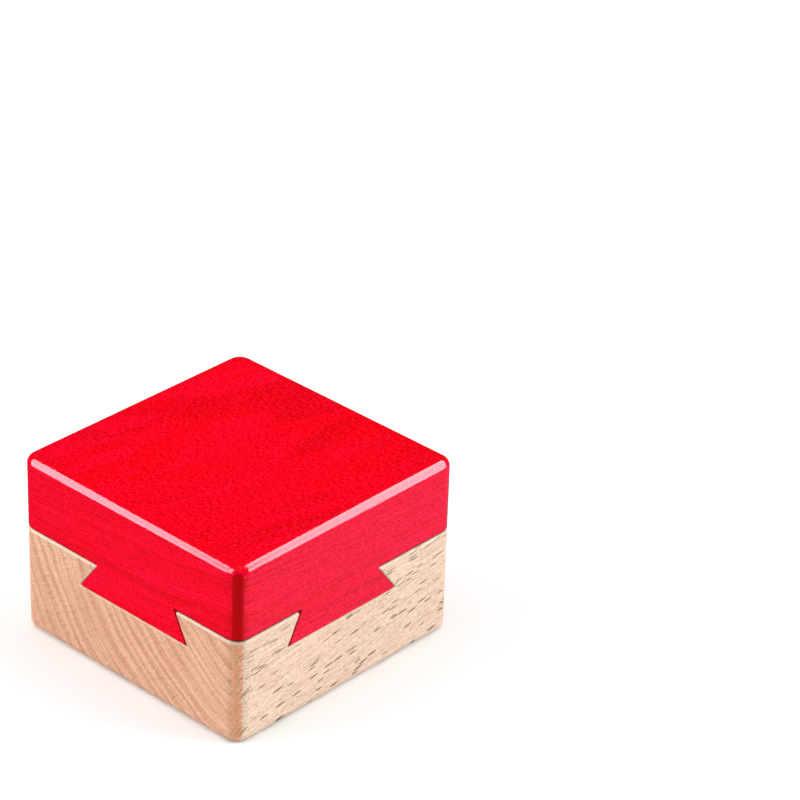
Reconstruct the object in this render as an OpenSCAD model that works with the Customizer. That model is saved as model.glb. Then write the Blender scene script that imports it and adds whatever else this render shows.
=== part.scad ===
// Wooden puzzle box: two square blocks joined by a pair of dovetail rails.
// The rails run corner to corner, so a dovetail shows on all four sides and the
// blocks seem impossible to part. The lid slides off along the diagonal once a
// loose pin has dropped back out of the base. Both blocks share a round pocket.
// The box stands on the plane z = 0 with its centre line on the Z axis.

/* [Box] */
// Side of the square box
box_side = 75; // [74:0.5:78]
// Height of the closed box
box_height = 49; // [48.5:0.5:55]
// Height of the face where the two blocks meet
seam_height = 29; // [28.5:0.5:30]
// Radius of the four upright corners
corner_radius = 4; // [3.5:0.5:6]
// Radius of the rounded rims round the top and the underside
rim_radius = 2.2; // [1.4:0.2:3]
// Chamfer on both blocks where their outer faces meet the seam
seam_chamfer = 0.4; // [0.2:0.1:0.8]

/* [Dovetail rails] */
// Distance from the centre line to the middle of a rail's neck
rail_offset = 28.5; // [28:0.25:29]
// Width of a rail's neck, where it leaves the lid
rail_neck = 19; // [17:0.5:20]
// How far a rail's inner side leans out towards the pocket
inner_lean = 4.3; // [3:0.1:4.5]
// How far a rail's outer side leans out towards the corner
outer_lean = 2.9; // [2:0.1:3.5]
// Height of a rail
rail_height = 8; // [6:0.5:9]
// Flat left on the sharp edges of a rail's foot
rail_blunt = 0.6; // [0.2:0.1:0.8]
// Gap between a rail and its groove
rail_gap = 0.2; // [0.1:0.05:0.3]

/* [Round pocket] */
// Diameter of the pocket bored into both blocks
pocket_diameter = 50; // [44:1:52]
// Thickness of the wood under the pocket in the base
base_floor = 7; // [6:0.2:10]
// Thickness of the wood over the pocket in the lid
lid_roof = 5; // [4:0.2:8]
// Diameter of the dimple left by the point of the boring cutter
dimple_diameter = 3; // [2:0.5:4]
// Depth of that dimple
dimple_depth = 1.2; // [0.8:0.2:2]

/* [Gravity lock] */
// Distance from the centre line to the lock pin, along the slide
lock_offset = 39.8; // [38:0.2:42]
// Diameter of the pin's bore in the lid
bore_diameter = 11.5; // [10:0.5:12]
// Depth of the pin's bore in the lid
bore_depth = 12; // [12:0.5:14]
// Diameter of the socket in the base
socket_diameter = 13.6; // [13:0.2:14]
// Depth of the socket in the base
socket_depth = 5.3; // [5.3:0.1:7]
// Diameter of the pin
pin_diameter = 9; // [8:0.25:9.5]
// Length of the pin
pin_length = 11; // [10:0.5:11]
// Chamfer on both ends of the pin
pin_chamfer = 0.8; // [0.4:0.1:1.2]

/* [Hidden] */
$fn = 96;
CUT = 1;                                     // how far a cut runs past a face
SLIDE_TURN = -45;                            // turns X across the slide and Y along it
diagonal = box_side * sqrt(2);
lid_height = box_height - seam_height;
pocket_radius = pocket_diameter / 2;
inner_slope = inner_lean / rail_height;
outer_slope = outer_lean / rail_height;
pin_radius = pin_diameter / 2;
pin_headroom = 0.1;                          // gap over the raised pin

// Outline of the box from above, with rounded corners
module outline() {
    straight = box_side - 2 * corner_radius;
    square([box_side, straight], center = true);
    square([straight, box_side], center = true);
    for (sx = [-1, 1], sy = [-1, 1])
        translate([sx * straight / 2, sy * straight / 2]) circle(corner_radius);
}

// Section of a block's edge, rounded where it meets the underside and chamfered at the top
module edge_section(height) {
    difference() {
        square([corner_radius, height]);
        translate([corner_radius, height]) rotate(45) square(seam_chamfer * sqrt(2), center = true);
        difference() {
            translate([corner_radius - rim_radius, -CUT]) square(rim_radius + CUT);
            translate([corner_radius - rim_radius, rim_radius]) circle(rim_radius);
        }
    }
}

// Block with a rounded rim round its underside and a flat top
module rounded_block(height) {
    straight = box_side - 2 * corner_radius;
    translate([-straight / 2, -straight / 2, 0]) cube([straight, straight, height]);
    for (turn = [0, 90, 180, 270]) rotate([0, 0, turn]) {
        translate([straight / 2, 0, 0]) rotate([90, 0, 0])
            linear_extrude(straight, center = true) edge_section(height);
        translate([straight / 2, straight / 2, 0]) rotate_extrude() edge_section(height);
    }
}

// Straight bar along the slide, with its section drawn as [across, up] points
module slide_bar(section) {
    rotate([0, 0, SLIDE_TURN]) rotate([90, 0, 0])
        linear_extrude(diagonal, center = true) polygon(section);
}

// Dovetail section that hangs from the seam, wider than a rail by gap on every face.
// Its foot keeps a small flat on both edges when blunt is above zero.
function dovetail(gap, blunt) =
    let (
        depth = rail_height + gap,
        inner = rail_offset - rail_neck / 2 - gap * sqrt(1 + pow(inner_slope, 2)),
        outer = rail_offset + rail_neck / 2 + gap * sqrt(1 + pow(outer_slope, 2)),
        inner_foot = inner - depth * inner_slope,
        outer_foot = outer + depth * outer_slope,
        foot_height = seam_height - depth
    ) [
        [inner, seam_height + CUT],
        [inner, seam_height],
        [inner_foot + blunt * inner_slope, foot_height + blunt],
        [inner_foot + blunt, foot_height],
        [outer_foot - blunt, foot_height],
        [outer_foot - blunt * outer_slope, foot_height + blunt],
        [outer, seam_height],
        [outer, seam_height + CUT]
    ];

// Makes a bar on each side of the pocket, the second as the first in a mirror
module on_both_sides() {
    children();
    rotate([0, 0, SLIDE_TURN]) mirror([1, 0, 0]) rotate([0, 0, -SLIDE_TURN]) children();
}

// Puts a shape on the axis of the lock
module at_lock() {
    rotate([0, 0, SLIDE_TURN]) translate([0, lock_offset, 0]) children();
}

// Cone that cuts the dimple of the boring cutter's point, from z = 0 upward
module dimple_cutter() {
    wide = dimple_diameter / 2 * (1 + CUT / dimple_depth);
    translate([0, 0, -CUT]) cylinder(h = dimple_depth + CUT, r1 = wide, r2 = 0);
}

// Beech block with two grooves, the lower pocket and the lock's socket
module base_block() {
    color("burlywood") difference() {
        rounded_block(seam_height);
        on_both_sides() slide_bar(dovetail(rail_gap, 0));
        translate([0, 0, base_floor]) cylinder(h = seam_height, r = pocket_radius);
        translate([0, 0, base_floor]) mirror([0, 0, 1]) dimple_cutter();
        at_lock() translate([0, 0, seam_height - socket_depth])
            cylinder(h = socket_depth + CUT, r = socket_diameter / 2);
    }
}

// Red block with two rails, the upper pocket and the lock's bore
module lid_block() {
    roof_height = box_height - lid_roof;
    color("crimson") difference() {
        union() {
            translate([0, 0, box_height]) mirror([0, 0, 1]) rounded_block(lid_height);
            intersection() {
                on_both_sides() slide_bar(dovetail(0, rail_blunt));
                linear_extrude(box_height - rim_radius) outline();
            }
        }
        cylinder(h = roof_height, r = pocket_radius);
        translate([0, 0, roof_height]) dimple_cutter();
        at_lock() translate([0, 0, seam_height - CUT])
            cylinder(h = bore_depth + CUT, r = bore_diameter / 2);
    }
}

// Loose steel pin, drawn raised into the lid so that the slide is free
module lock_pin() {
    top = seam_height + bore_depth - pin_headroom;
    color("silver") at_lock() translate([0, 0, top - pin_length]) {
        cylinder(h = pin_chamfer, r1 = pin_radius - pin_chamfer, r2 = pin_radius);
        translate([0, 0, pin_chamfer])
            cylinder(h = pin_length - 2 * pin_chamfer, r = pin_radius);
        translate([0, 0, pin_length - pin_chamfer])
            cylinder(h = pin_chamfer, r1 = pin_radius, r2 = pin_radius - pin_chamfer);
    }
}

base_block();
lid_block();
lock_pin();
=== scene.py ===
import math

import bpy
from mathutils import Matrix, Quaternion, Vector


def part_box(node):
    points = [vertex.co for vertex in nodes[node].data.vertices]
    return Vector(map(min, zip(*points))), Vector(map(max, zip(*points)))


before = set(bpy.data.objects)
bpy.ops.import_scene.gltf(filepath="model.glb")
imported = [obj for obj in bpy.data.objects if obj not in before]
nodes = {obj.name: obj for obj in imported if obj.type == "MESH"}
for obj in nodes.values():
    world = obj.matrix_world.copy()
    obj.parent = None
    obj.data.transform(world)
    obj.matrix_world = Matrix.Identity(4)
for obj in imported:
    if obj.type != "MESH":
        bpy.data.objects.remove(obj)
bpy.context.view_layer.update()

MM = 0.001

# ---------------------------------------------------------------- places, worked out from the frame
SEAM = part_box("base_block")[1].z
CENTRE = Vector((0, 0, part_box("lid_block")[1].z / 2))


# ---------------------------------------------------------------- shader nodes in short calls
class Graph:
    """The shader nodes of one material. Its distances are millimetres of the object's frame."""

    def __init__(self, name):
        self.material = bpy.data.materials.new(name)
        self.material.use_nodes = True
        self.tree = self.material.node_tree
        self.tree.nodes.clear()
        self.coordinates = self.node("ShaderNodeTexCoord")

    def node(self, kind, **settings):
        made = self.tree.nodes.new(kind)
        for name, value in settings.items():
            setattr(made, name, value)
        return made

    def feed(self, socket, value):
        if isinstance(value, bpy.types.NodeSocket):
            self.tree.links.new(value, socket)
        else:
            socket.default_value = value

    def math(self, operation, a, b=0.0):
        made = self.node("ShaderNodeMath", operation=operation)
        self.feed(made.inputs[0], a)
        self.feed(made.inputs[1], b)
        return made.outputs[0]

    def add(self, a, b):
        return self.math("ADD", a, b)

    def sub(self, a, b):
        return self.math("SUBTRACT", a, b)

    def mul(self, a, b):
        return self.math("MULTIPLY", a, b)

    def split(self, vector):
        made = self.node("ShaderNodeSeparateXYZ")
        self.feed(made.inputs[0], vector)
        return made.outputs[0], made.outputs[1], made.outputs[2]

    def join(self, x, y, z):
        made = self.node("ShaderNodeCombineXYZ")
        for socket, value in zip(made.inputs, (x, y, z)):
            self.feed(socket, value)
        return made.outputs[0]

    def turn(self, vector, degrees):
        made = self.node("ShaderNodeMapping")
        self.feed(made.inputs["Vector"], vector)
        made.inputs["Rotation"].default_value = [math.radians(d) for d in degrees]
        return made.outputs[0]

    def shift(self, vector, by):
        made = self.node("ShaderNodeVectorMath", operation="ADD")
        self.feed(made.inputs[0], vector)
        made.inputs[1].default_value = by
        return made.outputs[0]

    def divide(self, vector, by):
        made = self.node("ShaderNodeVectorMath", operation="DIVIDE")
        self.feed(made.inputs[0], vector)
        made.inputs[1].default_value = by
        return made.outputs[0]

    def millimetres(self):
        """The place on the object, in its own frame."""
        made = self.node("ShaderNodeVectorMath", operation="SCALE")
        self.feed(made.inputs[0], self.coordinates.outputs["Object"])
        made.inputs["Scale"].default_value = 1 / MM
        return made.outputs[0]

    def noise(self, vector, size, detail=2.0, roughness=0.5):
        """Smooth noise from 0 to 1, whose lumps are size = (x, y, z) across."""
        made = self.node("ShaderNodeTexNoise")
        self.feed(made.inputs["Vector"], self.divide(vector, size))
        made.inputs["Scale"].default_value = 1.0
        made.inputs["Detail"].default_value = detail
        made.inputs["Roughness"].default_value = roughness
        return made.outputs["Fac"]

    def cells(self, vector, size):
        """How far the middle of the nearest cell is, in cells, and a random number of that cell."""
        made = self.node("ShaderNodeTexVoronoi")
        self.feed(made.inputs["Vector"], self.divide(vector, size))
        made.inputs["Scale"].default_value = 1.0
        drawn = self.node("ShaderNodeSeparateColor")
        self.feed(drawn.inputs[0], made.outputs["Color"])
        return made.outputs["Distance"], drawn.outputs[0]

    def span(self, value, low, high, to_low=0.0, to_high=1.0):
        """Maps low..high to to_low..to_high with soft ends."""
        made = self.node("ShaderNodeMapRange", interpolation_type="SMOOTHSTEP")
        for name, number in (("Value", value), ("From Min", low), ("From Max", high),
                             ("To Min", to_low), ("To Max", to_high)):
            self.feed(made.inputs[name], number)
        return made.outputs["Result"]

    def blend(self, share, a, b):
        """Colour a where share is 0, colour b where it is 1."""
        made = self.node("ShaderNodeMix", data_type="RGBA")
        self.feed(made.inputs["Factor"], share)
        colours = [s for s in made.inputs if s.type == "RGBA"]
        for socket, value in zip(colours, (a, b)):
            self.feed(socket, value)
        return [s for s in made.outputs if s.type == "RGBA"][0]

    def stain(self, colour, mask, share, tint):
        """Colour with tint over it as far as mask says, at most share of it."""
        return self.blend(self.mul(mask, share), colour, (*tint, 1))

    def bump(self, height, depth):
        """Normal of a surface whose height goes from 0 to 1 over depth millimetres."""
        made = self.node("ShaderNodeBump")
        self.feed(made.inputs["Height"], height)
        made.inputs["Strength"].default_value = 1.0
        made.inputs["Distance"].default_value = depth * MM
        return made.outputs["Normal"]

    def surface(self, colour, roughness, normal=None, **uniform):
        """Finishes the material. Each further keyword sets the shader's socket of that name."""
        shader = self.node("ShaderNodeBsdfPrincipled")
        self.feed(shader.inputs["Base Color"], colour)
        self.feed(shader.inputs["Roughness"], roughness)
        if normal is not None:
            self.feed(shader.inputs["Normal"], normal)
        for name, value in uniform.items():
            shader.inputs[name.replace("_", " ")].default_value = value
        output = self.node("ShaderNodeOutputMaterial")
        self.tree.links.new(shader.outputs[0], output.inputs["Surface"])
        return self.material


# ---------------------------------------------------------------- shapes
WELD_GAP = 0.001 * MM
FLAT_WITHIN = math.radians(0.5)     # faces that meet at less than this are one flat face
SHARP_FROM = math.radians(28)       # edges that turn by more than this are eased
EASING_STEPS = 2
EASED_EDGE_SLOT = 1


def soften_edges(node, width):
    """Eases the sharp edges of a block by width mm, as sanding does, and gives them the second
    material: paler on the beech as wear and painted highlight, dark on the lid as painted shade and
    dirt.
    """
    weld = node.modifiers.new("weld", "WELD")
    weld.merge_threshold = WELD_GAP
    merge = node.modifiers.new("merge_flats", "DECIMATE")
    merge.decimate_type = "DISSOLVE"
    merge.angle_limit = FLAT_WITHIN
    ease = node.modifiers.new("ease", "BEVEL")
    ease.width = width * MM
    ease.segments = EASING_STEPS
    ease.limit_method = "ANGLE"
    ease.angle_limit = SHARP_FROM
    ease.use_clamp_overlap = False
    ease.harden_normals = False
    ease.material = EASED_EDGE_SLOT
    smooth = node.modifiers.new("normals", "WEIGHTED_NORMAL")
    smooth.keep_sharp = True


# ---------------------------------------------------------------- camera
def place_camera():
    """Looks down on the box's front edge. Aims past it, so that it stands low and left."""
    azimuth, elevation, roll = math.radians(44.96), math.radians(32.21), math.radians(0.48)
    distance, lens = 817.3 * MM, 148.8
    aim_right, aim_up = 39.95 * MM, 34.93 * MM
    back = Vector((math.sin(azimuth) * math.cos(elevation),
                   -math.cos(azimuth) * math.cos(elevation), math.sin(elevation)))
    right = back.cross(Vector((0, 0, -1))).normalized()
    up = back.cross(right)
    tilted_right = right * math.cos(roll) + up * math.sin(roll)
    tilted_up = up * math.cos(roll) - right * math.sin(roll)
    level = Matrix((tilted_right, tilted_up, back)).transposed().to_quaternion()
    aside = Vector((0, 0, -1)).rotation_difference(Vector((aim_right, aim_up, -distance)))
    camera = bpy.data.objects.new("camera", bpy.data.cameras.new("camera"))
    bpy.context.scene.collection.objects.link(camera)
    camera.data.lens = lens
    camera.data.sensor_width = 36
    camera.data.clip_start = 50 * MM
    camera.location = CENTRE + back * distance
    camera.rotation_mode = "QUATERNION"
    camera.rotation_quaternion = level @ aside
    bpy.context.scene.camera = camera


# ---------------------------------------------------------------- wood
YEAR = 3.3                          # width of a growth ring, in mm
ARC_RADIUS = 80.0                   # turns an angle round the heart into a length, in mm
NECK_INNER, NECK_OUTER = 19.0, 38.0     # the sides of a rail's neck, in mm across the slide
CORNER_FROM, CORNER_TO = 1100, 1150     # x times y, in mm2: only the upright corners lie beyond, where shade is painted
LOOKS_UP_45 = 0.707                 # upward part of the normal of a face that slopes by 45 degrees
RUBBED_EDGE_AND_HIGHLIGHT = (0.92, 0.82, 0.60)      # beech where its edges are fresh or rubbed, and painted highlight where they face up


class Timber:
    """Beech cut from a log whose heart runs along Y, askew, through (x, z) millimetres.

    The grain leans lean degrees sideways and rises rise degrees along Y, and seed picks another
    piece of the log. Gives noises and masks from 0 to 1 for a material to colour: rings, streaks
    and thin lines along the grain, fibres, speckle, wide patches, dark ray flecks, pale rays,
    pores, how much of the surface is end grain, the middle of the upright corners, a thin line
    over the seam, faces that look up, and faces that slope up or down by 45 degrees, as the
    seam's chamfers do. The materials use these last masks to paint light and shade on the wood.
    """

    def __init__(self, graph, heart, lean=0.0, rise=0.0, seed=0.0):
        g = graph
        place = g.turn(g.millimetres(), (-rise, 0, lean))
        x, y, z = g.split(place)
        shifted = g.shift(place, (17 * seed, 31 * seed, 23 * seed))
        sway = g.mul(g.sub(g.noise(shifted, (24, 90, 24), 1), 0.5), 5.0)
        ripple = g.mul(g.sub(g.noise(shifted, (5, 26, 5), 1), 0.5), 0.9)
        out_x, out_z = g.sub(x, heart[0]), g.sub(z, heart[1])
        distance = g.math("SQRT", g.add(g.mul(out_x, out_x), g.mul(out_z, out_z)))
        radius = g.add(g.add(distance, sway), ripple)
        around = g.mul(g.math("ARCTAN2", out_z, out_x), ARC_RADIUS)
        grown = g.join(radius, around, g.add(y, 50 * seed))

        # sizes in mm: across the rings, round them and along the grain
        uneven = g.mul(g.noise(grown, (9, 200, 400), 1), 1.5)
        year = g.math("FRACT", g.add(g.mul(radius, 1 / YEAR), uneven))
        self.rings = g.mul(g.span(year, 0.35, 0.93), g.span(year, 1.0, 0.95))
        self.streaks = g.noise(grown, (0.8, 26, 55), 3, 0.65)
        self.lines = g.noise(grown, (0.30, 20, 60), 2, 0.6)
        self.fibres = g.noise(grown, (0.26, 0.9, 7), 3, 0.7)
        self.speckle = g.noise(shifted, (0.32, 1.1, 0.32), 2, 0.75)
        self.patches = g.noise(shifted, (14, 45, 14), 2)

        near, draw = g.cells(grown, (5.0, 0.25, 4.2))
        lens = g.span(near, 0.45, 0.30)
        self.flecks = g.mul(lens, g.span(draw, 0.77, 0.79))
        self.rays = g.mul(lens, g.span(draw, 0.40, 0.30))
        near, draw = g.cells(grown, (0.25, 0.25, 1.5))
        self.pores = g.mul(g.span(near, 0.42, 0.2), g.span(draw, 0.6, 0.65))

        normal = g.coordinates.outputs["Normal"]
        facing = g.turn(normal, (-rise, 0, lean))
        self.end = g.span(g.math("ABSOLUTE", g.split(facing)[1]), 0.45, 0.75)
        side_x, side_y, up = g.split(normal)
        self.top = g.span(up, 0.5, 0.9)
        # faces that slope up or down by 45 degrees, as the seam's chamfers do: the beech is paler
        # on those facing up (painted highlight and rubbed wood), the lid darker on those facing
        # down (painted shade)
        self.slopes_up = g.span(g.math("ABSOLUTE", g.sub(up, LOOKS_UP_45)), 0.16, 0.08)
        self.slopes_down = g.span(g.math("ABSOLUTE", g.add(up, LOOKS_UP_45)), 0.16, 0.08)

        at_x, at_y, at_z = g.split(g.millimetres())
        # the middle of the upright corners, where the materials paint shade
        outside = g.span(g.math("ABSOLUTE", g.mul(at_x, at_y)), CORNER_FROM, CORNER_TO)
        rounded = g.span(g.math("ABSOLUTE", g.mul(side_x, side_y)), 0.36, 0.43)
        self.corner_shade = g.mul(rounded, outside)

        # a thin line just over the seam, outside the rails' necks, where the lid paints shade
        across = g.math("ABSOLUTE", g.mul(g.sub(at_x, at_y), math.sqrt(0.5)))
        neck = g.mul(g.span(across, NECK_INNER - 0.2, NECK_INNER + 0.2),
                     g.span(across, NECK_OUTER + 0.2, NECK_OUTER - 0.2))
        over_seam = g.sub(at_z, SEAM / MM)
        line = g.mul(g.span(over_seam, 0.75, 0.6), g.span(over_seam, 0.1, 0.2))
        self.seam_shade_line = g.mul(line, g.sub(1.0, neck))


def beech(name="beech", for_eased_edges=False):
    g = Graph(name)
    wood = Timber(g, heart=(70.0, 80.0), rise=8.0)
    varied = g.span(wood.patches, 0.3, 0.7)
    side = g.blend(varied, (0.86, 0.60, 0.445, 1), (0.87, 0.65, 0.48, 1))
    side = g.stain(side, g.span(wood.streaks, 0.35, 0.7), 0.6, (0.78, 0.50, 0.35))

    end = g.blend(varied, (0.78, 0.39, 0.24, 1), (0.81, 0.44, 0.28, 1))
    ring_share = g.span(wood.patches, 0.35, 0.6, 1.0, 0.65)
    end = g.stain(end, wood.rings, ring_share, (0.56, 0.20, 0.075))
    end = g.stain(end, g.span(wood.streaks, 0.45, 0.65), 0.6, (0.58, 0.24, 0.12))
    end = g.stain(end, g.span(wood.lines, 0.5, 0.65), 0.5, (0.50, 0.23, 0.12))
    end = g.stain(end, g.span(wood.lines, 0.5, 0.35), 0.35, (0.92, 0.60, 0.44))

    colour = g.blend(wood.end, side, end)
    # painted shade down the middle of the upright corners
    colour = g.stain(colour, wood.corner_shade, 0.95, (0.92, 0.38, 0.165))
    pale = g.sub(1.0, g.mul(wood.end, 0.55))
    dark_fibres, pale_fibres = g.span(wood.fibres, 0.48, 0.68), g.span(wood.fibres, 0.5, 0.32)
    colour = g.stain(colour, dark_fibres, 0.65, (0.54, 0.31, 0.18))
    colour = g.stain(colour, pale_fibres, g.mul(pale, 0.5), (0.98, 0.84, 0.70))
    dark_specks, pale_specks = g.span(wood.speckle, 0.5, 0.66), g.span(wood.speckle, 0.5, 0.34)
    colour = g.stain(colour, dark_specks, 0.36, (0.50, 0.27, 0.155))
    colour = g.stain(colour, pale_specks, g.mul(pale, 0.4), (1.0, 0.86, 0.72))
    colour = g.stain(colour, wood.rays, g.mul(wood.end, 0.25), (0.84, 0.62, 0.46))
    colour = g.stain(colour, wood.pores, 0.4, (0.38, 0.22, 0.13))
    marks = g.mul(wood.flecks, g.sub(1.0, g.mul(wood.end, 0.8)))
    colour = g.stain(colour, marks, 0.95, (0.15, 0.095, 0.05))
    # paler chamfer along the top of the seam: painted highlight, partly rubbed wood
    colour = g.stain(colour, wood.slopes_up, 0.5, RUBBED_EDGE_AND_HIGHLIGHT)
    # eased edges paler: rubbed wood and painted highlight
    if for_eased_edges:
        colour = g.blend(0.4, colour, (*RUBBED_EDGE_AND_HIGHLIGHT, 1))

    roughness = g.add(0.42, g.mul(wood.fibres, 0.22))
    height = g.sub(g.mul(wood.fibres, 0.35), g.add(marks, g.mul(wood.pores, 0.5)))
    height = g.sub(height, g.mul(wood.rings, 0.4))
    return g.surface(colour, roughness, g.bump(height, 0.035), Specular_IOR_Level=0.4)


def red_lacquer(name="red_lacquer", for_eased_edges=False):
    g = Graph(name)
    wood = Timber(g, heart=(-20.0, 400.0), lean=14.0, seed=1.0)
    varied = g.span(wood.patches, 0.3, 0.7)
    # painted light: the faces that look up and the upright faces get lit and shaded copies of one
    # red, each with its own brightness and tint
    top = g.blend(varied, (0.90, 0.0, 0.002, 1), (0.87, 0.0, 0.010, 1))
    side = g.blend(varied, (0.92, 0.0, 0.013, 1), (0.89, 0.0, 0.024, 1))

    colour = g.blend(wood.top, side, top)
    colour = g.stain(colour, g.span(wood.streaks, 0.48, 0.64), 0.6, (0.64, 0.0, 0.0))
    fine = g.sub(1.0, g.mul(wood.top, 0.7))
    dark_lines, pale_lines = g.span(wood.lines, 0.52, 0.64), g.span(wood.lines, 0.48, 0.36)
    colour = g.stain(colour, dark_lines, g.mul(fine, 0.65), (0.58, 0.0, 0.004))
    colour = g.stain(colour, pale_lines, g.mul(fine, 0.5), (1.0, 0.006, 0.08))
    colour = g.stain(colour, g.span(wood.speckle, 0.5, 0.63), 0.8, (0.60, 0.0, 0.0))
    colour = g.stain(colour, g.span(wood.speckle, 0.5, 0.37), 0.75, (1.0, 0.010, 0.045))
    # painted shade down the middle of the upright corners
    colour = g.stain(colour, wood.corner_shade, 0.9, (0.55, 0.0, 0.0))
    # painted shade along the seam: on the chamfers that face down and on a thin line over the seam
    seam_shade = g.math("MAXIMUM", wood.slopes_down, wood.seam_shade_line)
    colour = g.stain(colour, seam_shade, 0.85, (0.14, 0.0, 0.003))
    # eased edges nearly black: painted shade, partly dirt
    if for_eased_edges:
        colour = g.blend(0.9, colour, (0.07, 0.002, 0.003, 1))

    roughness = g.add(0.09, g.mul(wood.streaks, 0.05))
    height = g.add(g.mul(wood.fibres, 0.5), g.mul(wood.speckle, 0.5))
    return g.surface(colour, roughness, g.bump(height, 0.012), Specular_IOR_Level=0.5)


def turned_steel(name="steel"):
    g = Graph(name)
    place = g.millimetres()
    lines = g.noise(place, (9, 9, 0.12), 3, 0.7)
    dull = g.span(g.noise(place, (3, 3, 3), 3), 0.35, 0.75)
    colour = g.blend(dull, (0.62, 0.62, 0.63, 1), (0.48, 0.47, 0.46, 1))
    roughness = g.add(0.22, g.mul(lines, 0.2))
    return g.surface(colour, roughness, g.bump(lines, 0.01), Metallic=1.0)


# ---------------------------------------------------------------- studio
ROSE = (0.97, 0.88, 1.0)            # tint of what the lid's rounded rim mirrors
PANEL_WATTS = 4                     # power of a panel of 1 m2 whose radiance is 1
CARD_TOWARDS = (0.6, 0.6, -0.53)    # direction of the middle of the world's card
CARD_TINT = (0.4, 0.93, 1.6)
FLOOR_HALF = 3.0                    # half the side of the floor, in metres


def add_panel(name, place, size, radiance, facing=CENTRE, turn=0.0, tint=(1, 1, 1),
              seen_in="diffuse"):
    """A soft box, in metres, turned by turn degrees in its own plane.

    It lights surfaces, or with seen_in="gloss" it only shows in what is glossy.
    """
    light = bpy.data.objects.new(name, bpy.data.lights.new(name, "AREA"))
    bpy.context.scene.collection.objects.link(light)
    light.data.shape = "RECTANGLE"
    light.data.size, light.data.size_y = size
    light.data.energy = radiance * size[0] * size[1] * PANEL_WATTS
    light.data.color = tint
    light.location = place
    light.rotation_mode = "QUATERNION"
    aimed = (Vector(place) - Vector(facing)).to_track_quat("Z", "Y")
    light.rotation_quaternion = aimed @ Quaternion((0, 0, 1), math.radians(turn))
    light.visible_camera = False
    light.visible_diffuse = seen_in == "diffuse"
    light.visible_glossy = seen_in == "gloss"


def add_floor():
    half = FLOOR_HALF
    corners = [(-half, -half, 0), (half, -half, 0), (half, half, 0), (-half, half, 0)]
    mesh = bpy.data.meshes.new("floor")
    mesh.from_pydata(corners, [], [(0, 1, 2, 3)])
    floor = bpy.data.objects.new("floor", mesh)
    bpy.context.scene.collection.objects.link(floor)
    paper = Graph("floor").surface((0.95, 0.99, 1.0, 1), 0.9, Specular_IOR_Level=0.0)
    mesh.materials.append(paper)
    floor.visible_glossy = False


def make_world():
    """A dark room with one dim bluish card low on the right, which the right-hand faces mirror."""
    world = bpy.data.worlds.new("studio")
    world.use_nodes = True
    tree = world.node_tree
    direction = tree.nodes.new("ShaderNodeTexCoord")
    towards = tree.nodes.new("ShaderNodeVectorMath")
    towards.operation = "DOT_PRODUCT"
    towards.inputs[1].default_value = CARD_TOWARDS
    level = tree.nodes.new("ShaderNodeMapRange")
    level.interpolation_type = "SMOOTHSTEP"
    level.inputs["From Min"].default_value = 0.55
    level.inputs["From Max"].default_value = 0.9
    level.inputs["To Min"].default_value = 0.01
    level.inputs["To Max"].default_value = 0.28
    tinted = tree.nodes.new("ShaderNodeVectorMath")
    tinted.operation = "SCALE"
    tinted.inputs[0].default_value = CARD_TINT
    tree.links.new(direction.outputs["Generated"], towards.inputs[0])
    tree.links.new(towards.outputs["Value"], level.inputs["Value"])
    tree.links.new(level.outputs["Result"], tinted.inputs["Scale"])
    tree.links.new(tinted.outputs[0], tree.nodes["Background"].inputs["Color"])
    return world


# ---------------------------------------------------------------- put together
# each piece has its material and, for its eased edges, a second one
for node, finish, edge in (("base_block", beech(), beech("beech_edge", True)),
                           ("lid_block", red_lacquer(), red_lacquer("red_lacquer_edge", True)),
                           ("lock_pin", turned_steel(), turned_steel("steel_edge"))):
    nodes[node].data.materials.clear()
    nodes[node].data.materials.append(finish)
    nodes[node].data.materials.append(edge)
soften_edges(nodes["base_block"], 0.25)
soften_edges(nodes["lid_block"], 0.15)

place_camera()
add_floor()
add_panel("overhead", place=(0.0, 0.0, 1.5), size=(1.6, 1.6), radiance=1.95)
add_panel("left_wall", place=(-1.1, -1.1, 0.62), size=(1.2, 0.8), radiance=6.6)
add_panel("right_wall", place=(1.1, 1.1, 0.62), size=(1.2, 0.8), radiance=6.5)

# what the lid's rounded rim mirrors towards the camera: along its left side, corner and right side
add_panel("left_gloss", place=(-0.6, -0.555, 0.439), size=(0.40, 1.03), radiance=8.4,
          facing=(0, -0.555, 0.439), turn=38.5, tint=ROSE, seen_in="gloss")
add_panel("corner_gloss", place=(-0.234, -0.767, 0.675), size=(0.53, 0.90), radiance=8.0,
          facing=(0.080, -0.055, 0.047), turn=20, tint=ROSE, seen_in="gloss")
add_panel("right_gloss", place=(0.346, 0.6, 0.56), size=(0.50, 1.23), radiance=8.4,
          facing=(0.346, 0, 0.56), turn=-58.3, tint=ROSE, seen_in="gloss")

scene = bpy.context.scene
scene.view_settings.view_transform = "Standard"
scene.world = make_world()
